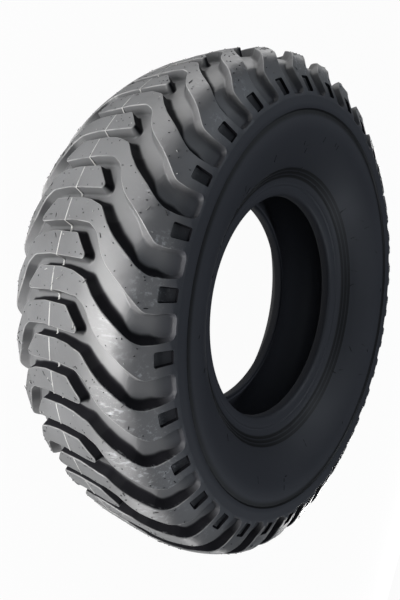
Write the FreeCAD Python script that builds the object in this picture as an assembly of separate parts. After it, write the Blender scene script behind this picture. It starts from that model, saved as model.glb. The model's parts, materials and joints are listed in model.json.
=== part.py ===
"""Flotation tyre for an implement wheel, as one moulded rubber solid.

The spin axis is Z and the origin is the middle of the tyre, so the tyre lies on its sidewall.
All lengths are in millimetres.
"""
import FreeCAD
import Part
import math
import os

# Driving dimensions
SEAT_RADIUS = 194.3        # bead seat, for a 15.3 inch rim
TREAD_RADIUS = 422.5       # lug tops at the middle of the tread
SECTION_WIDTH = 276.0      # over the lug ends
BEAD_SPAN = 140.0          # over the outer faces of the two beads, as the free tyre lies
BEAD_WIDTH = 21.0          # width of one bead seat
PITCHES = 31               # lugs on each side of the tread
GROOVE_DEPTH = 13.0        # lug tops to groove floor
SIDE_STEP = 2.0            # height of a lug's outer end over the sidewall
CROWN_FLAT = 30.0          # half width of the flat middle of the tread
CROWN_RADIUS = 170.0       # curve of the tread beside its flat middle
SHOULDER_RADIUS = 26.0     # bend from the tread to the lug ends
CASING = 13.0              # rubber and plies under the groove floor
WALL = 11.0                # sidewall thickness
DRAFT_DEG = 9.0            # slope of the lug walls
POCKET_DEPTH = 4.0         # recess in each lug end

# Half of the tread in section, from the middle outward
HALF_WIDTH = SECTION_WIDTH / 2
BEND_ANGLE = math.asin((0.75 * HALF_WIDTH - CROWN_FLAT) / CROWN_RADIUS)
FACE_ANGLE = math.radians(66.0)
CROWN_LENGTH = CROWN_FLAT + CROWN_RADIUS * BEND_ANGLE
BEND_LENGTH = SHOULDER_RADIUS * (FACE_ANGLE - BEND_ANGLE)
BEND_Z = CROWN_FLAT + CROWN_RADIUS * math.sin(BEND_ANGLE)
BEND_R = TREAD_RADIUS - CROWN_RADIUS * (1 - math.cos(BEND_ANGLE))
FACE_Z = BEND_Z + SHOULDER_RADIUS * (math.sin(FACE_ANGLE) - math.sin(BEND_ANGLE))
FACE_LENGTH = (HALF_WIDTH - FACE_Z) / math.cos(FACE_ANGLE)
FACE_START = CROWN_LENGTH + BEND_LENGTH
HALF_TREAD = FACE_START + FACE_LENGTH
FLOOR_STOPS = [1.5 * CROWN_FLAT, CROWN_LENGTH]
HALF_PITCH = math.pi / PITCHES
LUG_END_R = BEND_R - SHOULDER_RADIUS * (math.cos(BEND_ANGLE) - math.cos(FACE_ANGLE))
LUG_END_R -= FACE_LENGTH * math.sin(FACE_ANGLE)
SIDE = HALF_WIDTH - SIDE_STEP

# Outline of a lug: across in parts of the half tread, round in half pitches
LEADING_EDGE = [(-0.285, 0.57), (-0.172, -0.03), (0.285, 0.09), (0.48, 1.0), (0.63, 1.56),
                (0.74, 1.86), (1.0, 1.76)]
TRAILING_EDGE = [(-0.27, 0.68), (0.25, 0.66), (0.36, 1.03), (0.46, 1.76), (0.64, 2.47),
                 (0.75, 2.92), (1.0, 2.83)]
POCKET_PLACE = (0.905, 2.33)
POCKET_SIZE = (0.15, 0.50)


def tread_place(across, height):
    """Give radius, z and slope of a point over the lug tops, by its arc length from the middle."""
    side = math.copysign(1.0, across)
    run = abs(across)
    bend = max(min(run, FACE_START) - CROWN_LENGTH, 0.0) / SHOULDER_RADIUS
    slope = max(min(run, CROWN_LENGTH) - CROWN_FLAT, 0.0) / CROWN_RADIUS
    face = max(run - FACE_START, 0.0)
    radius = TREAD_RADIUS - CROWN_RADIUS * (1 - math.cos(slope))
    z = min(run, CROWN_FLAT) + CROWN_RADIUS * math.sin(slope)
    radius -= SHOULDER_RADIUS * (math.cos(slope) - math.cos(slope + bend))
    z += SHOULDER_RADIUS * (math.sin(slope + bend) - math.sin(slope))
    slope += bend
    radius += height * math.cos(slope) - face * math.sin(slope)
    z += height * math.sin(slope) + face * math.cos(slope)
    return radius, side * z, side * slope


def tread_point(across, turn, height):
    """Give the point at an arc length across the tread and a turn in half pitches."""
    radius, z, _ = tread_place(across, height)
    angle = turn * HALF_PITCH
    return FreeCAD.Vector(radius * math.cos(angle), radius * math.sin(angle), z)


def section_point(radius, z):
    """Give a point of the section, which lies in the XZ plane."""
    return FreeCAD.Vector(radius, 0, z)


def tread_line(stops, height):
    """Give the section points of the tread at one height, one for each arc length."""
    return [tread_place(stop, height)[:2] for stop in stops]


def solid_from(faces):
    """Sew faces into a solid that points outward."""
    shell = Part.Shell(faces)
    shell.sewShape()
    block = Part.Solid(shell)
    if block.Volume < 0:
        block.reverse()
    return block


def tread_drum():
    """Make the filled drum whose sides are the groove floors and the upper sidewalls."""
    half = tread_line(FLOOR_STOPS, -GROOVE_DEPTH) + [(LUG_END_R, SIDE)]
    rows = half[::-1] + [(radius, -z) for radius, z in half]
    sides = 2 * PITCHES
    rings = []
    for radius, z in rows:
        turns = [(index + 0.5) * HALF_PITCH for index in range(sides + 1)]
        rings.append([FreeCAD.Vector(radius * math.cos(t), radius * math.sin(t), z) for t in turns])
    faces = [Part.Face(Part.makePolygon(rings[0])), Part.Face(Part.makePolygon(rings[-1]))]
    for upper, lower in zip(rings, rings[1:]):
        for index in range(sides):
            corners = [upper[index], upper[index + 1], lower[index + 1], lower[index], upper[index]]
            faces.append(Part.Face(Part.makePolygon(corners)))
    return solid_from(faces)


def hollow():
    """Make the space inside the rubber: both dished sides, the bore and the cavity."""
    bead = BEAD_SPAN / 2
    wall_height = TREAD_RADIUS - SEAT_RADIUS
    inner_crown = TREAD_RADIUS - GROOVE_DEPTH - CASING
    half = [
        (0.0, SIDE + 10.0),
        (SEAT_RADIUS + 0.54 * wall_height, SIDE + 10.0),
        (SEAT_RADIUS + 0.45 * wall_height, SIDE),
        (SEAT_RADIUS + 0.33 * wall_height, SIDE - 13.0),
        (SEAT_RADIUS + 0.10 * wall_height, bead),
        (SEAT_RADIUS, bead),
        (SEAT_RADIUS, bead - BEAD_WIDTH),
        (SEAT_RADIUS + 0.06 * wall_height, bead - BEAD_WIDTH),
        (SEAT_RADIUS + 0.47 * wall_height, SIDE - WALL),
        (SEAT_RADIUS + 0.66 * wall_height, SIDE - WALL),
        (inner_crown, 0.55 * HALF_WIDTH),
    ]
    loop = half + [(radius, -z) for radius, z in reversed(half)]
    face = Part.Face(Part.makePolygon([section_point(radius, z) for radius, z in loop + loop[:1]]))
    return face.revolve(FreeCAD.Vector(0, 0, 0), FreeCAD.Vector(0, 0, 1), 360)


def edge_points(outline, height, outward):
    """Lay one lug edge over the tread at a height, moved outward by the draft."""
    shift = -height * math.tan(math.radians(DRAFT_DEG)) * outward
    points = []
    for index, (across, turn) in enumerate(outline):
        before = outline[max(index - 1, 0)]
        after = outline[min(index + 1, len(outline) - 1)]
        radius = tread_place(across * HALF_TREAD, 0)[0]
        ahead = (after[0] - before[0]) * HALF_TREAD
        rise = (after[1] - before[1]) * HALF_PITCH * radius
        size = math.hypot(ahead, rise)
        moved_across = across * HALF_TREAD - shift * rise / size
        moved_turn = turn + shift * ahead / size / (HALF_PITCH * radius)
        points.append(tread_point(moved_across, moved_turn, height))
    return points


def strip(first, second):
    """Span a row of triangles between two rows of points of equal length."""
    faces = []
    for index in range(len(first) - 1):
        near = [first[index], first[index + 1], second[index]]
        far = [second[index], first[index + 1], second[index + 1]]
        faces += [Part.Face(Part.makePolygon(corners + corners[:1])) for corners in (near, far)]
    return faces


def lug_block():
    """Make one lug as a closed block that reaches a little into the carcass."""
    low = -1.6 * GROOVE_DEPTH
    lead_low = edge_points(LEADING_EDGE, low, -1)
    lead_top = edge_points(LEADING_EDGE, 0.0, -1)
    trail_low = edge_points(TRAILING_EDGE, low, 1)
    trail_top = edge_points(TRAILING_EDGE, 0.0, 1)
    faces = strip(lead_low, lead_top) + strip(trail_low, trail_top)
    faces += strip(lead_low, trail_low) + strip(lead_top, trail_top)
    for end in (0, -1):
        faces += strip([lead_low[end], lead_top[end]], [trail_low[end], trail_top[end]])
    return solid_from(faces)


def lug_pocket():
    """Make the block that sinks the square recess into a lug's end face."""
    long_side = POCKET_SIZE[0] * HALF_TREAD
    across = POCKET_PLACE[0] * HALF_TREAD
    radius, _, slope = tread_place(across, 0)
    wide_side = POCKET_SIZE[1] * HALF_PITCH * radius
    box = Part.makeBox(4 * POCKET_DEPTH, wide_side, long_side)
    box.translate(FreeCAD.Vector(-POCKET_DEPTH, -wide_side / 2, -long_side / 2))
    box.rotate(FreeCAD.Vector(0, 0, 0), FreeCAD.Vector(0, 1, 0), -math.degrees(slope))
    box.translate(section_point(*tread_place(across, 0)[:2]))
    box.rotate(FreeCAD.Vector(0, 0, 0), FreeCAD.Vector(0, 0, 1),
               math.degrees(POCKET_PLACE[1] * HALF_PITCH))
    return box


def both_rows(shape):
    """Repeat a shape round the tyre, and its mirror half a pitch on."""
    other = shape.mirror(FreeCAD.Vector(0, 0, 0), FreeCAD.Vector(0, 0, 1))
    row = []
    for index in range(PITCHES):
        for part, turn in ((shape, 2 * index), (other, 2 * index + 1)):
            copy = part.copy()
            copy.rotate(FreeCAD.Vector(0, 0, 0), FreeCAD.Vector(0, 0, 1), math.degrees(turn * HALF_PITCH))
            row.append(copy)
    return row


def make_tyre():
    """Join both rows of lugs to the drum, hollow it out and sink the recesses."""
    lugs = both_rows(lug_block().removeSplitter())
    return tread_drum().multiFuse(lugs).cut([hollow()] + both_rows(lug_pocket()))


tyre = make_tyre()
tyre = tyre.Solids[0]
os.makedirs("parts", exist_ok=True)
tyre.exportStep("parts/tyre.step")
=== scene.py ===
"""Studio scene of a flotation tyre that lies on its sidewall, seen as in its photograph."""
import json
import logging
import math
from collections.abc import Callable
from dataclasses import dataclass, field
from enum import Enum

import bpy
import numpy as np
from mathutils import Matrix, Vector
from mathutils.geometry import delaunay_2d_cdt


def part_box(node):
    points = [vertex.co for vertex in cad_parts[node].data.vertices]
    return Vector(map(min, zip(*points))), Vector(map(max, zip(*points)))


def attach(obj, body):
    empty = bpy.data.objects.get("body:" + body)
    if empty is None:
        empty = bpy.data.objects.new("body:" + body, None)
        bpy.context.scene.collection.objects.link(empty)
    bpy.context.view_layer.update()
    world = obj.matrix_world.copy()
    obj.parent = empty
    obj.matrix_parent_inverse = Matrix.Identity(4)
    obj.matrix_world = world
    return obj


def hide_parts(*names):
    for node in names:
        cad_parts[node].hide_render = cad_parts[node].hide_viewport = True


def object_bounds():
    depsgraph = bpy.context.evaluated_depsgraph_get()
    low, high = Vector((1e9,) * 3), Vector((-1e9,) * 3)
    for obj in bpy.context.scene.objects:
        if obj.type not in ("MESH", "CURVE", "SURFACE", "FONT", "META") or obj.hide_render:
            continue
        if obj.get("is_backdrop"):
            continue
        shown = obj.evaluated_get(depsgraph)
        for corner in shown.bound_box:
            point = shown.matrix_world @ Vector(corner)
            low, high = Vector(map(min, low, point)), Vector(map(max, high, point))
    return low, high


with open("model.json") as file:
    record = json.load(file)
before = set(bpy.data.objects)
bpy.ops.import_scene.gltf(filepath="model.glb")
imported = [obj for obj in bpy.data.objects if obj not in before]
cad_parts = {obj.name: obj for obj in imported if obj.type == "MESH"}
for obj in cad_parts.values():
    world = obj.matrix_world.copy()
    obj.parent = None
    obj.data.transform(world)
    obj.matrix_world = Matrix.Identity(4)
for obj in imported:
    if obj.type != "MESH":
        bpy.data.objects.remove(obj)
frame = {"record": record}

Span = tuple[float, float]
Place = tuple[float, float, float]
Colour = tuple[float, float, float, float]
Spans = tuple[Span, ...]
Marks = tuple[Place, ...]
NetFaces = list[tuple[tuple[int, int], ...]]
Array = np.ndarray
Socket = bpy.types.NodeSocket

LOG = logging.getLogger("tyre")
MM = 0.001
BODY = "root"
NODE = "tyre"
BOX_MARGIN = 0.1 * MM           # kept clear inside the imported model's box
ARC_STEP = math.radians(17.5)   # turn between two points of a rounded corner
BEND_LIMIT = 0.46               # most of a straight run that one rounded corner takes
LEVEL_RISE = 1e-12              # stands in for the rise of a level edge
HEX_ROW = 0.866                 # row height of evenly spread points, over their distance
NET_SNAP = 1e-6                 # distance at which the net joins points
NEAR_COPIES = range(-2, 3)      # pitches round about that a filling point keeps clear of
RING_COPIES = range(-4, 5)      # pitches round about in which a ring is looked for
NET_COPIES = range(-3, 4)       # pitches that are netted at once
HAIR_POINTS = 6                 # points of one vent hair
TOP_WEIGHT = 60                 # how far large faces pull the shading normals
WHITE: Colour = (1, 1, 1, 1)


class Layer(Enum):
    """Mesh attributes that tell the finishes where on the tyre a point lies."""

    DEPTH = "groove_depth"
    FLANK = "flank"
    ACROSS = "across_tread"
    # where painted shade and shadow fall: walls turned from the lamps, the groove floor beside
    # them and the pockets
    SHADE = "shaded_wall"
    PALE = "pale"


@dataclass(frozen=True)
class TreadSection:
    """Section through the lug tops, from the middle of the tread outward."""

    tread_radius: float
    half_width: float
    crown_flat: float = 30 * MM
    crown_radius: float = 170 * MM
    shoulder_radius: float = 26 * MM
    bend_share: float = 0.75
    face_angle: float = math.radians(66)

    @property
    def bend_angle(self) -> float:
        """Slope of the crown where the shoulder bend starts."""
        return math.asin((self.bend_share * self.half_width - self.crown_flat) / self.crown_radius)

    @property
    def crown_length(self) -> float:
        """Arc length from the middle to the shoulder bend."""
        return self.crown_flat + self.crown_radius * self.bend_angle

    @property
    def face_start(self) -> float:
        """Arc length from the middle to the flat face of the lug ends."""
        return self.crown_length + self.shoulder_radius * (self.face_angle - self.bend_angle)

    @property
    def half_tread(self) -> float:
        """Arc length from the middle to the outer edge of the lugs."""
        start = self.crown_flat + self.crown_radius * math.sin(self.bend_angle)
        bend = self.shoulder_radius * (math.sin(self.face_angle) - math.sin(self.bend_angle))
        return self.face_start + (self.half_width - start - bend) / math.cos(self.face_angle)

    def place(self, across: Array, height: Array) -> tuple[Array, Array]:
        """Find points over the lug tops.

        Args:
            across: Signed arc lengths from the middle of the tread.
            height: Heights over the lug tops.

        Returns:
            Radius and z of each point.
        """
        run = np.abs(across)
        crown = np.clip(run - self.crown_flat, 0, self.crown_length - self.crown_flat)
        slope = crown / self.crown_radius
        bent = np.clip(run - self.crown_length, 0, self.face_start - self.crown_length)
        bend = bent / self.shoulder_radius
        face = np.maximum(run - self.face_start, 0)
        radius = self.tread_radius - self.crown_radius * (1 - np.cos(slope))
        radius -= self.shoulder_radius * (np.cos(slope) - np.cos(slope + bend))
        z = np.minimum(run, self.crown_flat) + self.crown_radius * np.sin(slope)
        z += self.shoulder_radius * (np.sin(slope + bend) - np.sin(slope))
        slope = slope + bend
        radius += height * np.cos(slope) - face * np.sin(slope)
        z += height * np.sin(slope) + face * np.cos(slope)
        return radius, np.sign(across) * z


def rounded_run(marks: Array, step: float, repeat: float = 0.0) -> Array:
    """Round the corners of an outline and space points along it.

    Args:
        marks: Corner points and their radii, with the body of the outline on the left.
        step: Longest distance between points on a straight run.
        repeat: Way round from one repeat of the outline to the next, zero for a closed loop.

    Returns:
        Points along one repeat of the rounded outline.
    """
    corners, radii = marks[:, :2], marks[:, 2]
    count = len(corners)
    before = np.roll(corners, 1, axis=0)
    before[0, 1] -= repeat
    after = np.roll(corners, -1, axis=0)
    after[-1, 1] += repeat
    bends = []
    for index in range(count):
        here = corners[index]
        back = before[index] - here
        ahead = after[index] - here
        back_length = np.linalg.norm(back)
        ahead_length = np.linalg.norm(ahead)
        back = back / back_length
        ahead = ahead / ahead_length
        half = 0.5 * math.acos(max(-1.0, min(1.0, float(back @ ahead))))
        reach = min(radii[index] / math.tan(half), BEND_LIMIT * min(back_length, ahead_length))
        turn = math.pi - 2 * half
        pieces = max(2, int(math.ceil(turn / ARC_STEP)))
        first = here + back * reach
        last = here + ahead * reach
        bends.append([first * (1 - t) ** 2 + here * 2 * t * (1 - t) + last * t ** 2
                      for t in np.linspace(0, 1, pieces + 1)])
    points = []
    for index in range(count):
        points += bends[index]
        start = bends[index][-1]
        run = bends[(index + 1) % count][0] - start
        run = run + (0, repeat if index == count - 1 else 0)
        parts = max(1, int(math.ceil(np.linalg.norm(run) / step)))
        points += [start + run * part / parts for part in range(1, parts)]
    return np.array(points)


def smooth_step(values: Array, low: float, high: float) -> Array:
    """Map values smoothly from 0 at low to 1 at high."""
    run = np.clip((values - low) / (high - low), 0, 1)
    return run * run * (3 - 2 * run)


def outward(run: Array, repeat: float = 0.0) -> Array:
    """Find the outward direction at each point of an outline.

    Args:
        run: Points of the outline, with its body on their left.
        repeat: Way round from one repeat of the outline to the next, zero for a closed loop.

    Returns:
        One unit vector for each point.
    """
    after = np.roll(run, -1, axis=0)
    after[-1, 1] += repeat
    before = np.roll(run, 1, axis=0)
    before[0, 1] -= repeat
    ahead = after - before
    ahead /= np.linalg.norm(ahead, axis=1)[:, None]
    return np.column_stack([ahead[:, 1], -ahead[:, 0]])


def inside_loop(points: Array, loop: Array) -> Array:
    """Test which points lie inside a closed loop.

    Args:
        points: Points to test.
        loop: The loop's points.

    Returns:
        One truth value for each point.
    """
    hit = np.zeros(len(points), bool)
    for start, end in zip(loop, np.roll(loop, -1, axis=0)):
        spans = (start[1] > points[:, 1]) != (end[1] > points[:, 1])
        rise = end[1] - start[1] if end[1] != start[1] else LEVEL_RISE
        cross = (end[0] - start[0]) * (points[:, 1] - start[1]) / rise + start[0]
        hit ^= spans & (points[:, 0] < cross)
    return hit


@dataclass
class RingGroup:
    """Rings with the same number of points that together make one wall.

    A row is a ring on the flat tread, its heights and its share of the groove depth. The ring is
    a closed loop if the repeat is zero. Else it runs on in the pitch that far away.
    """

    shade: Array
    turn: int = 1
    repeat: int = 0
    rows: list[tuple[Array, Array, float]] = field(default_factory=list)

    def moved(self, move: Callable[[Array], Array]) -> "RingGroup":
        """Copy the group through a mirror."""
        rows = [(move(ring), height, share) for ring, height, share in self.rows]
        return RingGroup(self.shade, -self.turn, self.repeat, rows)


@dataclass
class PitchPatch:
    """One pitch of the tread as a flat net of faces that repeats round the tyre."""

    across: Array
    turn: Array
    height: Array
    depth: Array
    shade: Array
    faces: NetFaces
    rims: dict[int, list[int]]


@dataclass
class LugPattern:
    """The lugs, grooves and lug-end pockets of one pitch.

    Outline marks are a share of the half tread, a number of half pitches and a corner radius in
    millimetres. Profiles run from the lug top down: shift in millimetres, share of the depth and,
    on walls, the share that the finishes see.
    """

    section: TreadSection
    pitches: int = 31
    groove_depth: float = 13 * MM
    end_depth: float = 7.5 * MM
    end_drop: float = 3.0 * MM
    drop_span: Span = (0.958, 0.988)
    groove_end: float = 0.985
    rim_share: float = 0.998
    step: float = 7.5 * MM
    fill_step: float = 11 * MM
    fill_jitter: float = 0.08
    rim_gap: float = 0.6
    ring_gap: float = 0.55
    rim_count: int = 10
    seed: int = 4
    pocket_depth: float = 4 * MM
    pocket_mark: float = 0.07
    pocket_wall: float = 0.3
    wall_lean: float = 1.7
    lean_start: Span = (0.2, 0.42)
    lean_end: Span = (0.80, 0.93)
    shade_least: float = 0.2
    shade_skew: float = 0.5
    shade_span: Span = (-0.3, 0.3)
    shade_fade: float = 0.75
    fade_span: Span = (0.86, 0.97)
    leading: Marks = (
        (-0.288, 0.56, 5), (-0.168, -0.02, 7), (0.07, -0.05, 30), (0.20, 0.015, 30),
        (0.322, 0.20, 11), (0.40, 0.64, 40), (0.475, 0.985, 60), (0.60, 1.445, 80),
        (0.675, 1.73, 40), (0.75, 1.88, 22), (0.84, 1.875, 40), (0.985, 1.76, 14))
    trailing: Marks = (
        (-0.275, 0.69, 4), (0.08, 0.622, 40), (0.262, 0.695, 14), (0.345, 0.93, 16),
        (0.405, 1.43, 60), (0.455, 1.745, 60), (0.587, 2.25, 100), (0.70, 2.73, 40),
        (0.752, 2.935, 14), (0.84, 2.945, 40), (0.985, 2.84, 12))
    pocket: Marks = (
        (0.835, 2.10, 2.8), (0.970, 2.07, 2.8), (0.970, 2.53, 2.8), (0.835, 2.60, 2.8))
    # on the floor rings the third value carries the painted wall shade a little way over the
    # groove floor, as a painted shadow
    wall_profile: Marks = (
        (-0.9, 0.0, 0.0), (-0.25, 0.008, 0.008), (0.05, 0.05, 0.05), (2.3, 0.86, 0.7),
        (4.0, 1.0, 0.78), (6.2, 1.0, 1.0))
    pocket_profile: Spans = ((0.3, 0.0), (0.0, 0.12), (-0.8, 0.88), (-1.4, 1.0))

    @property
    def half_pitch(self) -> float:
        """Angle of half a pitch."""
        return math.pi / self.pitches

    @property
    def half_pitch_length(self) -> float:
        """Arc length of half a pitch at the middle of the tread."""
        return self.half_pitch * self.section.tread_radius

    @property
    def pitch_length(self) -> float:
        """Arc length of a pitch at the middle of the tread."""
        return 2 * self.half_pitch_length

    @property
    def edge(self) -> float:
        """Arc length from the middle to the rim of the patch."""
        return self.rim_share * self.section.half_tread

    def floor(self, across: Array) -> Array:
        """Give the groove depth, which gets shallower towards the sidewall.

        Args:
            across: Signed arc lengths from the middle of the tread.

        Returns:
            The depth at each arc length.
        """
        start = self.section.crown_length
        run = (np.abs(across) - start) / (self.groove_end * self.section.half_tread - start)
        return self.groove_depth + (self.end_depth - self.groove_depth) * np.clip(run, 0, 1)

    def top(self, across: Array) -> Array:
        """Give how far the lug tops fall at each arc length, down to the sidewall's band."""
        share = np.abs(across) / self.section.half_tread
        return self.end_drop * smooth_step(share, *self.drop_span)

    def outline(self, marks: Marks, repeat: int = 0) -> Array:
        """Draw rounded outline marks on the flat tread, as a loop or as a run over the pitches."""
        scale = (self.section.half_tread, self.half_pitch_length, MM)
        return rounded_run(np.array(marks) * scale, self.step, repeat * self.pitch_length)

    def twin(self, points: Array) -> Array:
        """Mirror flat points into the other row of lugs, half a pitch on."""
        return np.column_stack([-points[:, 0], points[:, 1] + self.half_pitch_length])

    def groups(self) -> list[RingGroup]:
        """Lay the rings of one pitch.

        Returns:
            The lug wall and the pocket of one row, then their twins in the other row.
        """
        outline = self.outline(self.trailing[::-1] + self.leading, -1)
        way = outward(outline, -self.pitch_length)
        part = outline[:, 0] / self.section.half_tread
        # Painted shade by the way a wall faces: full on the leading walls, lug tips and groove
        # ends, a little on every wall, fading out towards the sidewall.
        facing = smooth_step(-way[:, 1] - self.shade_skew * way[:, 0], *self.shade_span)
        shade = self.shade_least + (1 - self.shade_least) * facing
        shade *= 1 - self.shade_fade * smooth_step(part, *self.fade_span)
        wall = RingGroup(shade, -1, -1)
        lean = self.wall_lean * np.clip(-way[:, 1], 0, 1)
        lean *= smooth_step(part, *self.lean_start) - smooth_step(part, *self.lean_end)
        for shift, share, mark in self.wall_profile:
            ring = outline + shift * MM * (1 + lean * (shift > 0))[:, None] * way
            top = self.top(ring[:, 0])
            wall.rows.append((ring, -top - share * (self.floor(ring[:, 0]) - top), mark))
        outline = self.outline(self.pocket)
        # The pockets take the full painted shade.
        pocket = RingGroup(np.ones(len(outline)))
        for shift, share in self.pocket_profile:
            ring = outline + shift * MM * outward(outline)
            mark = self.pocket_wall if 0 < share < 1 else share * self.pocket_mark
            height = -self.top(ring[:, 0]) - share * self.pocket_depth
            pocket.rows.append((ring, height, mark))
        return [wall, pocket, wall.moved(self.twin), pocket.moved(self.twin)]

    def fill_points(self, rings: list[Array]) -> Array:
        """Scatter even points over one pitch.

        Args:
            rings: Rings that the points keep clear of.

        Returns:
            The points on the flat tread.
        """
        rows = 2 * int(round(self.pitch_length / (self.fill_step * HEX_ROW) / 2))
        columns = int(2 * self.edge / self.fill_step)
        row, column = (grid.ravel() for grid in np.mgrid[:rows, 1:columns])
        place = -self.edge + (column + 0.5 * (row % 2)) * 2 * self.edge / columns
        points = np.column_stack([place, row * self.pitch_length / rows])
        points = points[np.abs(place) < self.edge - self.rim_gap * self.fill_step]
        rng = np.random.default_rng(self.seed)
        points += rng.uniform(-self.fill_jitter, self.fill_jitter, points.shape) * self.fill_step
        near = np.full(len(points), np.inf)
        for ring in rings:
            for shift in NEAR_COPIES:
                gap = points[:, None, :] - (ring + (0, shift * self.pitch_length))[None, :, :]
                near = np.minimum(near, np.linalg.norm(gap, axis=2).min(axis=1))
        return points[near > self.ring_gap * self.fill_step]

    def within(self, points: Array, group: RingGroup, index: int) -> Array:
        """Test which points lie inside one ring of a group, or its copies in other pitches.

        Args:
            points: Flat points to test.
            group: The ring group.
            index: Number of the ring in its group.

        Returns:
            One truth value for each point.
        """
        copies = [group.rows[index][0] + (0, shift * self.pitch_length) for shift in RING_COPIES]
        if group.repeat == 0:
            return np.any([inside_loop(points, copy) for copy in copies], axis=0)
        run = np.vstack(copies[::group.repeat])
        far = math.copysign(2 * self.edge, run[0, 0])
        return inside_loop(points, np.vstack([run, (far, run[-1, 1]), (far, run[0, 1])]))

    def patch(self) -> PitchPatch:
        """Net one pitch with faces that fit onto the next pitch.

        Returns:
            The pitch, with the numbers of the points on its two rims.
        """
        groups = self.groups()
        fill = self.fill_points([row[0] for group in groups for row in group.rows])
        tops = self.within(fill, groups[0], 0) | self.within(fill, groups[2], 0)
        sunk = self.within(fill, groups[1], -1) | self.within(fill, groups[3], -1)
        rim_turns = np.arange(self.rim_count) * self.pitch_length / self.rim_count
        rim = np.vstack([np.column_stack([np.full(self.rim_count, side * self.edge), rim_turns])
                         for side in (-1, 1)])
        blocks = []
        faces = []
        edges = []
        start = 0
        for group in groups:
            size = len(group.shade)
            for index, (ring, height, share) in enumerate(group.rows):
                blocks.append((ring, height, np.full(size, share), group.shade))
                first = start + index * size
                for step in range(size):
                    here = first + step
                    after = first + (step + 1) % size
                    shift = group.repeat if step == size - 1 else 0
                    if index in (0, len(group.rows) - 1):
                        edges.append((here, after, shift))
                    if index:
                        quad = ((here - size, 0), (here, 0), (after, shift), (after - size, shift))
                        faces.append(quad[::group.turn])
            start += size * len(group.rows)
        top = self.top(fill[:, 0])
        unsunk = np.where(tops, top, self.floor(fill[:, 0]))
        fill_height = -np.where(sunk, top + self.pocket_depth, unsunk)
        fill_mark = np.where(sunk, self.pocket_mark, np.where(tops, 0.0, 1.0))
        # Pocket floors take the painted shade too.
        blocks.append((fill, fill_height, fill_mark, np.where(sunk, 1.0, 0.0)))
        blocks.append((rim, -self.top(rim[:, 0]), np.zeros(len(rim)), np.zeros(len(rim))))
        points, height, share, shade = (np.concatenate(column) for column in zip(*blocks))
        followed = {corner for edge in edges for corner in edge[:2]}
        netted = sorted(followed | set(range(start, len(points))))
        faces += self.net(points, netted, edges, groups)
        last = list(range(len(points)))[-2 * self.rim_count:]
        rims = {-1: last[:self.rim_count], 1: last[self.rim_count:]}
        turn = points[:, 1] / self.half_pitch_length
        return PitchPatch(points[:, 0], turn, height, share, shade, faces, rims)

    def net(self, points: Array, netted: list[int], edges: list[tuple[int, int, int]],
            groups: list[RingGroup]) -> NetFaces:
        """Triangulate lug tops, pocket floors and groove floors of one pitch.

        Args:
            points: Flat points of one pitch.
            netted: Numbers of the points that the net joins.
            edges: Pairs of point numbers that the net has to follow, and the second one's pitch.
            groups: Ring groups, whose walls the net leaves open.

        Returns:
            Triangles whose corners are a point number and a pitch number.
        """
        order = {number: index for index, number in enumerate(netted)}
        count = len(netted)
        verts = [Vector(points[number] + (0, shift * self.pitch_length)) / self.fill_step
                 for shift in NET_COPIES for number in netted]
        lines = [(order[a] + index * count, order[b] + (index + shift) * count)
                 for index in range(len(NET_COPIES)) for a, b, shift in edges
                 if 0 <= index + shift < len(NET_COPIES)]
        coords, _, faces, origins, _, _ = delaunay_2d_cdt(verts, lines, [], 0, NET_SNAP)
        flat = np.array([coord[:] for coord in coords]) * self.fill_step
        corners = np.array(faces)
        middles = flat[corners].mean(axis=1)
        kept = (middles[:, 1] >= 0) & (middles[:, 1] < self.pitch_length)
        corners = corners[kept]
        middles = middles[kept]
        for group in groups:
            first = self.within(middles, group, 0)
            last = self.within(middles, group, -1)
            corners = corners[first == last]
            middles = middles[first == last]
        net = []
        for face in corners[:, ::-1]:
            known = [origins[corner][0] for corner in face]
            net.append(tuple((netted[corner % count], corner // count + NET_COPIES[0])
                             for corner in known))
        return net


def show_mesh(name: str, mesh: bpy.types.Mesh, layers: dict[Layer, Array]) -> bpy.types.Object:
    """Store attributes on a mesh and put it into the scene.

    Args:
        name: Name of the new object.
        mesh: The mesh.
        layers: One value a point for each attribute.

    Returns:
        The new object.
    """
    for layer, values in layers.items():
        store = mesh.attributes.new(layer.value, "FLOAT", "POINT")
        store.data.foreach_set("value", np.asarray(values, np.float32))
    mesh.shade_smooth()
    shown = bpy.data.objects.new(name, mesh)
    bpy.context.scene.collection.objects.link(shown)
    normals = shown.modifiers.new("flat_tops", "WEIGHTED_NORMAL")
    normals.weight = TOP_WEIGHT
    LOG.info("%s: %d points, %d faces", name, len(mesh.vertices), len(mesh.polygons))
    return shown


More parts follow.
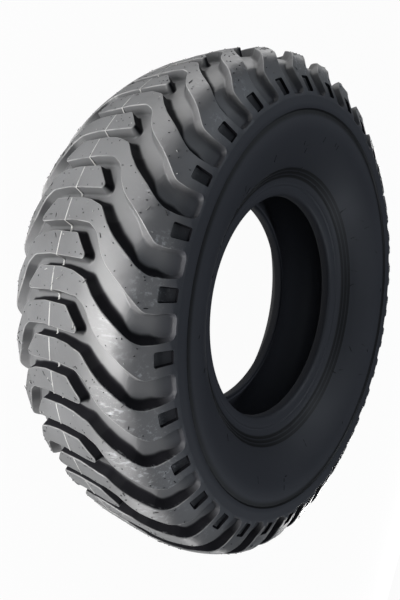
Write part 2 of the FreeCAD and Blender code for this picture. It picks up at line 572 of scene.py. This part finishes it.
@dataclass
class PartingRib:
    """Thin raised moulding line round the middle of the tread, stouter on the groove floors."""

    pattern: LugPattern
    top_width: float = 1.9 * MM
    top_height: float = 0.45 * MM
    floor_width: float = 3.6 * MM
    floor_height: float = 1.5 * MM
    lug_span: Span = (-0.027, 0.663)
    lug_parts: int = 6
    shape: Spans = (
        (-1.0, -0.6), (-0.8, 0.5), (-0.3, 1.0), (0.3, 1.0), (0.8, 0.5), (1.0, -0.6))

    def path(self) -> list[Span]:
        """Follow the rib over one lug, from groove to groove.

        Returns:
            Turn in half pitches and share of the groove depth along half a pitch.
        """
        length = self.pattern.half_pitch_length
        low, high = self.lug_span
        walls = self.pattern.wall_profile
        marks = [(low - shift * MM / length, share) for shift, share, _ in reversed(walls)]
        marks += [(low + (high - low) * part / self.lug_parts, 0.0)
                  for part in range(1, self.lug_parts)]
        marks += [(high + shift * MM / length, share) for shift, share, _ in walls]
        return marks

    def build(self) -> bpy.types.Object:
        """Sweep the rib round the tyre.

        Returns:
            The rib object.
        """
        section = self.pattern.section
        verts = []
        depth = []
        for lug in range(2 * self.pattern.pitches):
            for turn, share in self.path():
                half = 0.5 * (self.top_width + (self.floor_width - self.top_width) * share)
                rise = self.top_height + (self.floor_height - self.top_height) * share
                angle = (turn + lug) * self.pattern.half_pitch
                base = section.tread_radius - share * self.pattern.groove_depth
                for side, up in self.shape:
                    radius = base + up * rise
                    verts.append((radius * math.cos(angle), radius * math.sin(angle), side * half))
                    depth.append(share)
        size = len(self.shape)
        count = len(verts) // size
        faces = []
        for ring in range(count):
            here = ring * size
            after = (ring + 1) % count * size
            for side in range(size):
                beside = (side + 1) % size
                faces.append((here + side, after + side, after + beside, here + beside))
        mesh = bpy.data.meshes.new("parting_rib_mesh")
        mesh.from_pydata(verts, [], faces)
        layers = {Layer.DEPTH: np.array(depth), Layer.PALE: np.ones(len(verts))}
        return show_mesh("parting_rib", mesh, layers)


@dataclass
class VentHairs:
    """Short rubber hairs that the mould's vents left on the lugs and the sidewalls.

    Lengths named for the flank are in millimetres, like the sidewall's section.
    """

    pattern: LugPattern
    limit_radius: float
    limit_z: float
    flank: list[Span]
    flank_count: int = 46
    flank_span: Span = (222.0, 310.0)
    flank_reach: Span = (4, 11)
    flank_spread: float = 0.8
    flank_shape: Spans = ((-1, -0.3), (0, 0.8), (1, -0.3))
    spacing: float = 24 * MM
    scatter: float = 6
    inset: float = 4 * MM
    loose_count: int = 10
    loose_tries: int = 40
    thickness: float = 1.5 * MM
    ridge_share: float = 0.4
    root_sink: float = 0.2 * MM
    tip_width: float = 0.6
    reach: float = 0.82
    missing_share: float = 0.12
    long_share: float = 0.12
    long_reach: Span = (4, 8)
    short_reach: Span = (1.2, 2.4)
    long_rise: float = 0.1
    short_rise: float = 0.2
    pale_share: float = 0.1
    paleness: float = 0.9
    seed: int = 11

    def spots(self, rng: np.random.Generator) -> Array:
        """Pick flat places on one lug, along its edge and loosely over its top.

        Args:
            rng: Source of the scatter.

        Returns:
            The places on the flat tread.
        """
        outline = self.pattern.outline(self.pattern.leading + self.pattern.trailing[::-1])
        edge = outline - self.inset * outward(outline)
        length = np.concatenate([[0], np.cumsum(np.linalg.norm(np.diff(edge, axis=0), axis=1))])
        count = int(math.ceil(length[-1] / self.spacing))
        marks = np.arange(0, length[-1], self.spacing)
        marks = marks + rng.uniform(-self.scatter, self.scatter, count) * MM
        spots = np.column_stack([np.interp(marks, length, edge[:, axis]) for axis in (0, 1)])
        low, high = outline.min(axis=0), outline.max(axis=0)
        loose = rng.uniform(low, high, (self.loose_tries * self.loose_count, 2))
        loose = loose[inside_loop(loose, edge)][:self.loose_count]
        return np.vstack([spots[inside_loop(spots, outline)], loose])

    def build(self) -> bpy.types.Object:
        """Grow the hairs on every lug and lay them on the sidewalls.

        Returns:
            The hairs as one object.
        """
        rng = np.random.default_rng(self.seed)
        verts = []
        faces = []
        pale = []
        pattern = self.pattern
        for lug in range(2 * pattern.pitches):
            side = -1 if lug % 2 else 1
            for across, round_way in self.spots(rng):
                missing = rng.random() < self.missing_share
                if missing or across > self.reach * pattern.section.half_tread:
                    continue
                long = rng.random() < self.long_share
                reach = rng.uniform(*(self.long_reach if long else self.short_reach)) * MM
                heading = rng.uniform(0, 2 * math.pi)
                rise = reach * (self.long_rise if long else self.short_rise)
                root = (side * across, round_way + lug * pattern.half_pitch_length)
                way = (reach * math.cos(heading), reach * math.sin(heading), rise)
                self.grow(verts, faces, root, way)
                paleness = self.paleness if rng.random() < self.pale_share else 0.0
                pale += [paleness] * HAIR_POINTS
        self.lay(verts, faces, rng)
        pale += [0.0] * (len(verts) - len(pale))
        mesh = bpy.data.meshes.new("vent_hairs_mesh")
        mesh.from_pydata(verts, [], faces)
        dark = np.ones(len(verts))
        layers = {Layer.FLANK: dark, Layer.DEPTH: dark, Layer.PALE: np.array(pale)}
        return show_mesh("vent_hairs", mesh, layers)

    def lay(self, verts: list, faces: list, rng: np.random.Generator) -> None:
        """Lay hairs flat on both sidewalls.

        Args:
            verts: Points so far, to add to.
            faces: Faces so far, to add to.
            rng: Source of the scatter.
        """
        radii, heights = np.array(sorted(self.flank)).T
        for number in range(2 * self.flank_count):
            side = -1 if number % 2 else 1
            radius = rng.uniform(*self.flank_span)
            angle = rng.uniform(0, 2 * math.pi)
            heading = rng.normal(0, self.flank_spread)
            reach = rng.uniform(*self.flank_reach)
            start = len(verts)
            for run in (0.0, reach):
                for aside, up in self.flank_shape:
                    shift = 0.5 * aside * self.thickness / MM
                    out = radius + run * math.cos(heading) - shift * math.sin(heading)
                    way = run * math.sin(heading) + shift * math.cos(heading)
                    turn = angle + side * way / radius
                    z = float(np.interp(out, radii, heights)) + up
                    verts.append((out * MM * math.cos(turn), out * MM * math.sin(turn),
                                  side * z * MM))
            faces += self.ridge(start)

    @staticmethod
    def ridge(start: int) -> list[tuple[int, ...]]:
        """Give the faces of one hair, whose points begin at a number."""
        corners = ((0, 1, 4, 3), (1, 2, 5, 4), (2, 0, 3, 5), (3, 4, 5), (2, 1, 0))
        return [tuple(start + corner for corner in face) for face in corners]

    def grow(self, verts: list, faces: list, root: Span, way: Place) -> None:
        """Add one hair.

        Args:
            verts: Points so far, to add to.
            faces: Faces so far, to add to.
            root: Place on the flat tread.
            way: Run across, round and up from root to tip.
        """
        start = len(verts)
        section = self.pattern.section
        size = math.hypot(way[0], way[1])
        aside = np.array([-way[1], way[0]]) / size * 0.5 * self.thickness
        shape = ((-1, -self.root_sink), (0, self.ridge_share * self.thickness),
                 (1, -self.root_sink))
        for part, width in ((0.0, 1.0), (1.0, self.tip_width)):
            for shift, up in shape:
                across = root[0] + part * way[0] + shift * width * aside[0]
                round_way = root[1] + part * way[1] + shift * width * aside[1]
                height = np.array([part * way[2] + up])
                radius, z = section.place(np.array([across]), height)
                angle = round_way / section.tread_radius
                reach = min(float(radius[0]), self.limit_radius)
                depth = max(-self.limit_z, min(self.limit_z, float(z[0])))
                verts.append((reach * math.cos(angle), reach * math.sin(angle), depth))
        faces += self.ridge(start)


@dataclass
class TyreBody:
    """The whole tyre: tread net, sidewalls, beads and cavity in one closed mesh.

    The sections of sidewall and cavity are radius and height in millimetres. A fine ring is its
    radius, half its width and its height, which is negative where it is cut in.
    """

    section: TreadSection
    pattern: LugPattern
    seat_radius: float
    bead_half: float = 70 * MM
    bead_width: float = 21 * MM
    side_wall: Spans = (
        (340.5, 135.0), (331.0, 134.6), (324.2, 134.3), (323.1, 134.0), (322.4, 133.1),
        (321.9, 132.0), (320.8, 131.6), (310.0, 131.8), (300.0, 130.9), (292.0, 128.8),
        (284.0, 125.4), (276.0, 121.0), (268.0, 115.8), (260.0, 110.0), (252.0, 103.6),
        (244.0, 96.7), (236.0, 89.5), (228.0, 82.3), (222.0, 77.3), (217.0, 73.8),
        (213.0, 72.0), (210.0, 71.6))
    rings_cut: Marks = (
        (322.0, 1.2, -1.0), (237.5, 1.1, -1.3), (232.3, 1.1, -1.3), (226.8, 1.1, -1.3),
        (214.0, 2.2, 1.5))
    ring_shape: Spans = ((1.0, 0.0), (0.45, 1.0), (-0.45, 1.0), (-1.0, 0.0))
    ring_gap: float = 0.8
    bead_outside: Spans = (
        (12.5, 1.3), (10.5, 0.3), (6.0, -1.2), (2.8, -3.4), (1.0, -6.0), (0.1, -9.0))
    bead_toe: Spans = ((0.05, 2.2), (0.6, 0.6), (2.0, 0.0))
    cavity: Spans = (
        (199.0, 48.7), (204.0, 49.2), (209.0, 52.0), (225.0, 64.5), (245.0, 80.0), (265.0, 95.5),
        (285.0, 109.5), (302.0, 117.5), (322.0, 120.5), (342.0, 119.0), (358.0, 111.5),
        (374.0, 99.0), (386.0, 86.0), (393.5, 70.0), (396.0, 45.0), (396.5, 15.0))
    parts: list[bpy.types.Object] = field(default_factory=list)

    def bead(self) -> list[Span]:
        """Give the section of a bead.

        Returns:
            Radius and height in millimetres, from its outer face over the seat to the toe.
        """
        seat = self.seat_radius / MM
        face = self.bead_half / MM
        toe = face - self.bead_width / MM
        return ([(seat + out, face + up) for out, up in self.bead_outside]
                + [(seat + out, toe + up) for out, up in self.bead_toe])

    def flank_section(self) -> list[Span]:
        """Give the section of a sidewall with its fine rings.

        Returns:
            Radius and height in millimetres, from the tread inward.
        """
        radii, heights = zip(*reversed(self.side_wall))
        points = [point for point in self.side_wall
                  if all(abs(point[0] - ring) > half + self.ring_gap
                         for ring, half, _ in self.rings_cut)]
        for ring, half, height in self.rings_cut:
            outer, inner = (np.interp(ring + way * half, radii, heights) for way in (1, -1))
            slope = math.atan2(outer - inner, 2 * half)
            for shift, rise in self.ring_shape:
                radius = ring + shift * half
                z = float(np.interp(radius, radii, heights))
                lift = rise * height
                points.append((radius - lift * math.sin(slope), z + lift * math.cos(slope)))
        return sorted(points, reverse=True)

    def rings(self) -> list[Span]:
        """Give all ring sections of one side, from the tread's rim to the middle of the cavity."""
        return [(r * MM, z * MM) for r, z in [*self.flank_section(), *self.bead(), *self.cavity]]

    def cut(self, radius: float) -> bool:
        """Tell whether a sidewall radius lies in one of the fine cut rings."""
        return any(height < 0 and abs(radius / MM - ring) < half
                   for ring, half, height in self.rings_cut)

    def build(self) -> None:
        """Build the closed mesh and its attributes."""
        patch = self.pattern.patch()
        pitches = self.pattern.pitches
        count = len(patch.across)
        radius, z = self.section.place(patch.across, patch.height)
        angle = patch.turn * self.pattern.half_pitch
        turns = np.arange(pitches) * 2 * self.pattern.half_pitch
        spread = angle[None, :] + turns[:, None]
        coords = np.stack([radius * np.cos(spread), radius * np.sin(spread),
                           np.broadcast_to(z, spread.shape)], -1)
        verts = [coords.reshape(-1, 3)]
        faces = [tuple((pitch + shift) % pitches * count + corner for corner, pitch in face)
                 for shift in range(pitches) for face in patch.faces]
        start = pitches * count
        around = pitches * self.pattern.rim_count
        rings = self.rings()
        outside = len(self.flank_section()) + len(self.bead()) + 1
        last_rows = {}
        for side in (-1, 1):
            row = [shift * count + point for shift in range(pitches) for point in patch.rims[side]]
            spin = np.concatenate([angle[patch.rims[side]] + turn for turn in turns])
            for reach, high in rings:
                verts.append(np.column_stack([reach * np.cos(spin), reach * np.sin(spin),
                                              np.full(around, side * high)]))
                after = list(range(start, start + around))
                faces += self.band(row, after, side)
                row = after
                start += around
            last_rows[side] = row
        faces += self.band(last_rows[1], last_rows[-1], 1)
        mesh = bpy.data.meshes.new("tyre_mesh")
        mesh.from_pydata(np.vstack(verts).tolist(), [], faces)
        mesh.validate()
        mesh.update()
        # Cut rings on the sidewall are marked for their painted shade.
        sunk = [float(self.cut(reach)) for reach, _ in rings[:outside]]
        sunk += [0.0] * (len(rings) - outside)
        level = [1.0] * outside + [2.0] * (len(rings) - outside)
        edges = np.repeat((-self.pattern.edge, self.pattern.edge), len(rings))
        levels = {Layer.DEPTH: (patch.depth, sunk * 2), Layer.FLANK: (np.zeros(count), level * 2),
                  Layer.ACROSS: (patch.across, edges),
                  Layer.SHADE: (patch.shade, np.zeros(2 * len(rings)))}
        layers = {layer: np.concatenate([np.tile(tread, pitches), np.repeat(side, around)])
                  for layer, (tread, side) in levels.items()}
        self.parts.append(show_mesh("tyre_body", mesh, layers))

    @staticmethod
    def band(first: list[int], second: list[int], side: int) -> list[tuple[int, ...]]:
        """Join two rings of point numbers with faces that look outward."""
        quads = zip(first, first[1:] + first[:1], second[1:] + second[:1], second)
        return [quad[::side] for quad in quads]

    def dress(self, material: bpy.types.Material) -> None:
        """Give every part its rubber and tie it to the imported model.

        Args:
            material: The rubber.
        """
        for part in self.parts:
            part.data.materials.append(material)
            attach(part, BODY)
        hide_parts(NODE)


class NodeTree:
    """Small helper that adds and links shader nodes."""

    def __init__(self, tree: bpy.types.NodeTree) -> None:
        """Empty the node tree of a material or world."""
        self.tree = tree
        tree.nodes.clear()

    def add(self, kind: str, values: dict[str | int, object] | None = None,
            **settings: object) -> bpy.types.Node:
        """Add a node.

        Args:
            kind: Blender's node type.
            values: Input sockets by name or number, each a value or an output to link.
            **settings: Properties of the node.

        Returns:
            The new node.
        """
        node = self.tree.nodes.new(kind)
        for name, value in settings.items():
            setattr(node, name, value)
        for name, value in (values or {}).items():
            if isinstance(value, Socket):
                self.tree.links.new(value, node.inputs[name])
            else:
                node.inputs[name].default_value = value
        return node

    def math(self, operation: str, first: object, second: object = 0.0,
             clamp: bool = False) -> Socket:
        """Work out one operation on two values or sockets."""
        values = {0: first, 1: second}
        return self.add("ShaderNodeMath", values, operation=operation, use_clamp=clamp).outputs[0]

    def times(self, first: object, second: object) -> Socket:
        """Multiply two values or sockets."""
        return self.math("MULTIPLY", first, second)

    def less(self, first: object, second: object) -> Socket:
        """Take the second value or socket from the first."""
        return self.math("SUBTRACT", first, second)

    def ramp(self, value: object, span: Span) -> Socket:
        """Map a value smoothly from 0 at the start of a span to 1 at its end."""
        values = {"Value": value, "From Min": span[0], "From Max": span[1]}
        return self.add("ShaderNodeMapRange", values,
                        interpolation_type="SMOOTHSTEP").outputs["Result"]

    def between(self, value: object, rise: Span, fall: Span) -> Socket:
        """Map a value to a share that rises over one span and falls over the next."""
        return self.less(self.ramp(value, rise), self.ramp(value, fall))

    def layer(self, layer: Layer) -> Socket:
        """Read a mesh attribute."""
        return self.add("ShaderNodeAttribute", attribute_name=layer.value).outputs["Fac"]

    def noise(self, vector: Socket, noise: Span) -> Socket:
        """Give a noise of some scale and detail at a place."""
        values = {"Vector": vector, "Scale": noise[0], "Detail": noise[1]}
        return self.add("ShaderNodeTexNoise", values).outputs["Fac"]

    def mix(self, share: object, first: object, second: object) -> Socket:
        """Mix a share of the second colour into the first."""
        values = {"Factor": share, "A": first, "B": second}
        return self.add("ShaderNodeMix", values, data_type="RGBA").outputs["Result"]

    def blend(self, share: Socket, first: Socket, second: Socket) -> Socket:
        """Blend a share of the second shader into the first."""
        return self.add("ShaderNodeMixShader", {0: share, 1: first, 2: second}).outputs[0]


@dataclass(frozen=True)
class RubberFinish:
    """Moulded rubber with a soft sheen, scuffed where the lugs bend over the shoulder, with
    painted light and shade in its colour.

    Spans named for the bend, ends and scuffs are distances in metres from the middle of the
    tread; those for tops, walls and edges are shares of the groove depth. A noise is its scale
    and its detail.
    """

    base: Colour = (0.080, 0.081, 0.083, 1)
    worn: Colour = (0.115, 0.117, 0.120, 1)
    flank: Colour = (0.054, 0.056, 0.066, 1)
    # painted shade on walls turned from the lamps, the groove floor beside them and the pockets
    wall: Colour = (0.009, 0.009, 0.011, 1)
    # painted sheen over the whole shoulder bend, on lug tops and groove floors alike
    bend_sheen: Colour = (0.20, 0.20, 0.205, 1)
    # painted shade in the cut sidewall rings, and the vent hairs' own dark colour
    cut_ring_shade_and_hair: Colour = (0.006, 0.006, 0.007, 1)
    # painted light: the cavity's rubber is made pale and bluish so its unlit inside still shows
    inside: Colour = (0.19, 0.195, 0.225, 1)
    # pale lug edges: edge wear, partly a painted highlight where the edges catch the light
    edge: Colour = (0.25, 0.25, 0.25, 1)
    dust: Colour = (0.40, 0.41, 0.42, 1)
    line: Colour = (0.38, 0.38, 0.37, 1)
    tread_span: Span = (0.05, 0.5)
    flank_span: Span = (0.2, 0.9)
    inside_span: Span = (1.2, 1.9)
    top_span: Span = (0.0, 0.3)
    # the walls spans set where the painted shade and shadow lie
    walls: Spans = ((0.03, 0.10), (0.74, 0.98))
    edges: Spans = ((0.0, 0.008), (0.05, 0.12))
    edge_end: Span = (0.142, 0.156)
    edge_wear_and_glint: Span = (0.28, 0.60)
    cut_ring_shade_and_hair_depth: Span = (0.1, 0.8)
    cut_ring_shade_and_hair_flank: Span = (0.5, 0.9)
    # the bend spans and share set the painted sheen over the shoulder
    bend: Spans = ((0.075, 0.115), (0.142, 0.166))
    bend_share: float = 0.55
    # the lug ends take a painted shade towards the sidewall's tone
    end_span: Span = (0.146, 0.172)
    end_shade_share: float = 0.85
    blotch_span: Span = (0.35, 0.7)
    line_wear: Span = (0.2, 0.55)
    roughness: float = 0.38
    rough_blotch: float = 0.3
    rough_end: float = 0.14
    rough_wall: float = 0.4
    gloss: float = 0.5
    gloss_wall: float = 0.42
    bump_strength: float = 0.2
    bump_height: float = 0.5 * MM
    blotch_noise: Span = (7.0, 4.0)
    grain_noise: Span = (240.0, 2.0)
    edge_noise: Span = (34.0, 4.0)
    line_noise: Span = (60.0, 3.0)
    streak_noise: Span = (210.0, 6.0)
    speck_noise: Span = (520.0, 3.0)
    patch_noise: Span = (14.0, 5.0)
    scuff_rise: Span = (0.060, 0.100)
    scuff_fall: Span = (0.140, 0.168)
    scuff_stretch: Place = (1.0, 1.0, 0.10)
    streak_span: Span = (0.52, 0.70)
    speck_span: Span = (0.60, 0.72)
    patch_span: Span = (0.42, 0.66)
    speck_share: float = 0.5
    heavy_share: float = 0.75
    light_share: float = 0.12

    def material(self) -> bpy.types.Material:
        """Make the rubber's node material.

        Returns:
            The material.
        """
        material = bpy.data.materials.new("tyre_rubber")
        material.use_nodes = True
        nodes = NodeTree(material.node_tree)
        place = nodes.add("ShaderNodeTexCoord").outputs["Object"]
        depth = nodes.layer(Layer.DEPTH)
        flank = nodes.layer(Layer.FLANK)
        across = nodes.math("ABSOLUTE", nodes.layer(Layer.ACROSS))
        tread = nodes.less(1.0, nodes.ramp(flank, self.tread_span))
        tops = nodes.times(nodes.less(1.0, nodes.ramp(depth, self.top_span)), tread)
        blotch = nodes.noise(place, self.blotch_noise)
        base = nodes.mix(nodes.ramp(blotch, self.blotch_span), self.base, self.worn)
        # Painted sheen: the shoulder bend is made paler where the lamps' reflection falls off.
        bend = nodes.between(across, *self.bend)
        base = nodes.mix(nodes.times(bend, self.bend_share), base, self.bend_sheen)
        # Painted shade: the lug ends darken towards the sidewall's tone.
        ends = nodes.ramp(across, self.end_span)
        base = nodes.mix(nodes.times(ends, self.end_shade_share), base, self.flank)
        # Painted shade and shadow: the walls, floor strips and pockets that the shaded-wall
        # attribute marks turn near black.
        walls = nodes.between(depth, *self.walls)
        walls = nodes.times(walls, nodes.layer(Layer.SHADE))
        painted_wall_shade = nodes.times(walls, tread)
        base = nodes.mix(painted_wall_shade, base, self.wall)
        # Pale lug edges in a noise: edge wear, partly a painted highlight along edges that catch
        # the light.
        edges = nodes.between(depth, *self.edges)
        edges = nodes.times(edges, nodes.less(1.0, nodes.ramp(across, self.edge_end)))
        worn = nodes.times(edges, nodes.ramp(nodes.noise(place, self.edge_noise), self.edge_wear_and_glint))
        base = nodes.mix(nodes.times(worn, tread), base, self.edge)
        base = nodes.mix(nodes.ramp(flank, self.flank_span), base, self.flank)
        # Painted shade darkens the cut sidewall rings; the vent hairs take the same dark colour as
        # their own.
        cut_ring_shade_and_hair_mask = nodes.times(nodes.ramp(depth, self.cut_ring_shade_and_hair_depth), nodes.ramp(flank, self.cut_ring_shade_and_hair_flank))
        base = nodes.mix(cut_ring_shade_and_hair_mask, base, self.cut_ring_shade_and_hair)
        # Painted light inside the cavity, which the lamps barely reach.
        base = nodes.mix(nodes.ramp(flank, self.inside_span), base, self.inside)
        base = nodes.mix(self.scuffs(nodes, place, across, tops), base, self.dust)
        line_wear = nodes.ramp(nodes.noise(place, self.line_noise), self.line_wear)
        base = nodes.mix(nodes.times(nodes.layer(Layer.PALE), line_wear), base, self.line)
        rough = nodes.times(nodes.less(blotch, 0.5), self.rough_blotch)
        rough = nodes.math("ADD", self.roughness, rough)
        rough = nodes.math("ADD", rough, nodes.times(ends, self.rough_end))
        rough = nodes.math("ADD", rough, nodes.times(walls, self.rough_wall))
        gloss = nodes.less(self.gloss, nodes.times(painted_wall_shade, self.gloss_wall))
        bump = nodes.add("ShaderNodeBump", {
            "Strength": self.bump_strength, "Distance": self.bump_height,
            "Height": nodes.noise(place, self.grain_noise)})
        shader = nodes.add("ShaderNodeBsdfPrincipled", {
            "Base Color": base, "Roughness": rough, "Normal": bump.outputs["Normal"],
            "Specular IOR Level": gloss})
        nodes.add("ShaderNodeOutputMaterial", {"Surface": shader.outputs["BSDF"]})
        return material

    def scuffs(self, nodes: NodeTree, place: Socket, across: Socket, tops: Socket) -> Socket:
        """Give the share of pale scuffing, streaked and speckled at the shoulder bend.

        Args:
            nodes: The rubber's node tree.
            place: Position on the tyre.
            across: Distance from the middle of the tread.
            tops: Share of lug top.

        Returns:
            The share, from 0 to 1.
        """
        band = nodes.times(nodes.ramp(across, self.scuff_rise),
                           nodes.less(1.0, nodes.ramp(across, self.scuff_fall)))
        long_way = nodes.add("ShaderNodeMapping", {"Vector": place, "Scale": self.scuff_stretch})
        streak = nodes.noise(long_way.outputs["Vector"], self.streak_noise)
        speck = nodes.ramp(nodes.noise(place, self.speck_noise), self.speck_span)
        patch = nodes.ramp(nodes.noise(place, self.patch_noise), self.patch_span)
        marks = nodes.math("ADD", nodes.ramp(streak, self.streak_span),
                           nodes.times(speck, self.speck_share))
        heavy = nodes.times(nodes.times(patch, band), marks)
        light = nodes.times(speck, nodes.times(patch, self.light_share))
        share = nodes.math("ADD", nodes.times(heavy, self.heavy_share), light)
        return nodes.math("MULTIPLY", share, tops, True)


@dataclass(frozen=True)
class FloorFinish:
    """Pale matt floor that the camera sees as white, but for the shadow on it."""

    matt: Colour = (0.55, 0.55, 0.55, 1)
    mirror_share: float = 0.3
    white_share: float = 0.965

    def material(self) -> bpy.types.Material:
        """Make the floor's node material.

        Returns:
            The material.
        """
        material = bpy.data.materials.new("studio_white")
        material.use_nodes = True
        nodes = NodeTree(material.node_tree)
        path = nodes.add("ShaderNodeLightPath")
        mirrored = nodes.times(path.outputs["Is Glossy Ray"], self.mirror_share)
        seen = nodes.math("MAXIMUM", path.outputs["Is Camera Ray"], mirrored)
        matte = nodes.add("ShaderNodeBsdfDiffuse", {"Color": self.matt})
        glow = nodes.add("ShaderNodeEmission", {"Color": WHITE, "Strength": 1.0})
        surface = nodes.blend(nodes.times(seen, self.white_share), matte.outputs["BSDF"],
                              glow.outputs["Emission"])
        nodes.add("ShaderNodeOutputMaterial", {"Surface": surface})
        return material


@dataclass
class Studio:
    """Floor, lights, world and camera.

    A ring lamp is its place round the tyre in degrees and its power in watts. Its stand is its
    distance from the axle, its height over the middle of the tread and its size.
    """

    floor_z: float
    floor_size: float = 6.0
    camera_place: Place = (0.7353, 0.1683, 0.5017)
    camera_ahead: Place = (-0.75508, -0.16524, -0.63447)
    camera_up: Place = (0.30525, -0.94504, -0.11716)
    lens: float = 29.145
    sensor: float = 36
    crown_reach: float = 0.4
    crown_height: float = 0.03
    ring_colour: Place = (1.0, 0.99, 0.98)
    sky_lamps: tuple[tuple[str, Place, float], ...] = (
        ("sky_front", (-0.9, 1.0, 1.6), 7.2), ("sky_back", (-0.25, -1.4, 1.6), 7.9),
        ("sky_near", (1.3, 0.2, 1.3), 2.6))
    sky_target: Place = (0.0, 0.0, 0.05)
    sky_size: Span = (1.2, 1.2)
    sky_colour: Place = (0.84, 0.91, 1.0)
    sheen: Span = (30, 13.0)
    sheen_stand: tuple[float, float, Span] = (1.6, -0.02, (0.8, 0.2))
    low_stand: tuple[float, float, Span] = (0.8, -0.115, (0.44, 0.26))
    back_stand: tuple[float, float, Span] = (2.2, 0.0, (1.0, 0.27))
    low_lamps: Spans = ((-75, 0.7), (-45, 1.4), (-15, 1.4), (15, 4.5), (45, 2.2), (75, 1.4))
    back_lamps: Spans = ((120, 5.0), (165, 12.0), (210, 12.0), (255, 2.5))
    world_colour: Colour = (0.86, 0.93, 1.0, 1.0)
    world_strength: float = 0.035

    def floor(self) -> None:
        """Lay a pale floor that keeps the tyre's shadow."""
        mesh = bpy.data.meshes.new("floor_mesh")
        size = self.floor_size
        corners = ((-size, -size), (size, -size), (size, size), (-size, size))
        mesh.from_pydata([(x, y, self.floor_z) for x, y in corners], [], [(0, 1, 2, 3)])
        floor = bpy.data.objects.new("studio_floor", mesh)
        bpy.context.scene.collection.objects.link(floor)
        mesh.materials.append(FloorFinish().material())
        floor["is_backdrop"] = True

    def lamp(self, name: str, place: Place, target: Place, size: Span, power: float,
             colour: Place) -> None:
        """Set up a soft lamp.

        Args:
            name: Name of the lamp.
            place: Where it stands.
            target: What it looks at.
            size: Its width and height.
            power: Its power in watts.
            colour: Its colour.
        """
        data = bpy.data.lights.new(name, "AREA")
        data.shape = "RECTANGLE"
        data.size, data.size_y = size
        data.energy = power
        data.color = colour
        lamp = bpy.data.objects.new(name, data)
        lamp.location = place
        lamp.rotation_euler = (Vector(target) - Vector(place)).to_track_quat("-Z", "Y").to_euler()
        lamp.visible_camera = False
        bpy.context.scene.collection.objects.link(lamp)

    def ring_lamp(self, name: str, lamp: Span, stand: tuple[float, float, Span]) -> None:
        """Stand a lamp beside the tread, turned to the tyre's middle.

        Args:
            name: Name of the lamp.
            lamp: Its place round the tyre and its power.
            stand: Its distance, height and size.
        """
        degrees, power = lamp
        reach, height, size = stand
        turn = math.radians(degrees)
        way = Vector((math.cos(turn), math.sin(turn), 0.0))
        place = reach * way + Vector((0.0, 0.0, height))
        target = self.crown_reach * way + Vector((0.0, 0.0, self.crown_height))
        self.lamp(name, place[:], target[:], size, power, self.ring_colour)

    def world(self) -> None:
        """Light the scene softly from all round, white behind the tyre."""
        world = bpy.data.worlds.new("studio")
        bpy.context.scene.world = world
        world.use_nodes = True
        nodes = NodeTree(world.node_tree)
        seen = nodes.add("ShaderNodeLightPath").outputs["Is Camera Ray"]
        soft, white = (nodes.add("ShaderNodeBackground", {"Color": colour, "Strength": strength})
                       for colour, strength in ((self.world_colour, self.world_strength),
                                                (WHITE, 1.0)))
        surface = nodes.blend(seen, soft.outputs["Background"], white.outputs["Background"])
        nodes.add("ShaderNodeOutputWorld", {"Surface": surface})

    def camera(self) -> None:
        """Set the camera where the photograph was taken from."""
        data = bpy.data.cameras.new("photo_camera")
        data.lens = self.lens
        data.sensor_width = self.sensor
        camera = bpy.data.objects.new("photo_camera", data)
        ahead = Vector(self.camera_ahead).normalized()
        up = Vector(self.camera_up).normalized()
        right = ahead.cross(up)
        camera.matrix_world = Matrix.Translation(self.camera_place) @ Matrix(
            (right, up, -ahead)).transposed().to_4x4()
        bpy.context.scene.collection.objects.link(camera)
        bpy.context.scene.camera = camera

    def build(self) -> None:
        """Set up the whole studio."""
        self.floor()
        for name, place, power in self.sky_lamps:
            self.lamp(name, place, self.sky_target, self.sky_size, power, self.sky_colour)
        self.ring_lamp("sheen", self.sheen, self.sheen_stand)
        for index, lamp in enumerate(self.low_lamps):
            self.ring_lamp(f"low_{index}", lamp, self.low_stand)
        for index, lamp in enumerate(self.back_lamps):
            self.ring_lamp(f"back_{index}", lamp, self.back_stand)
        self.world()
        self.camera()
        bpy.context.scene.view_settings.view_transform = "Standard"


def main() -> None:
    """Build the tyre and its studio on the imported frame."""
    logging.basicConfig(level=logging.INFO)
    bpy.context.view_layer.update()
    _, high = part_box(NODE)
    seat = next(mount for mount in frame["record"]["mounts"] if mount["name"] == "bead_seat")
    reach = min(high.x, high.y) - BOX_MARGIN
    half_width = high.z - BOX_MARGIN
    section = TreadSection(reach - PartingRib.top_height, half_width)
    pattern = LugPattern(section)
    dims = seat["dims"]
    tyre = TyreBody(section, pattern, dims["r_mm"] * MM, dims["length_mm"] / 2 * MM)
    tyre.build()
    tyre.parts.append(PartingRib(pattern).build())
    tyre.parts.append(VentHairs(pattern, reach, half_width, tyre.flank_section()).build())
    tyre.dress(RubberFinish().material())
    Studio(floor_z=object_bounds()[0].z).build()


if __name__ == "__main__":
    main()
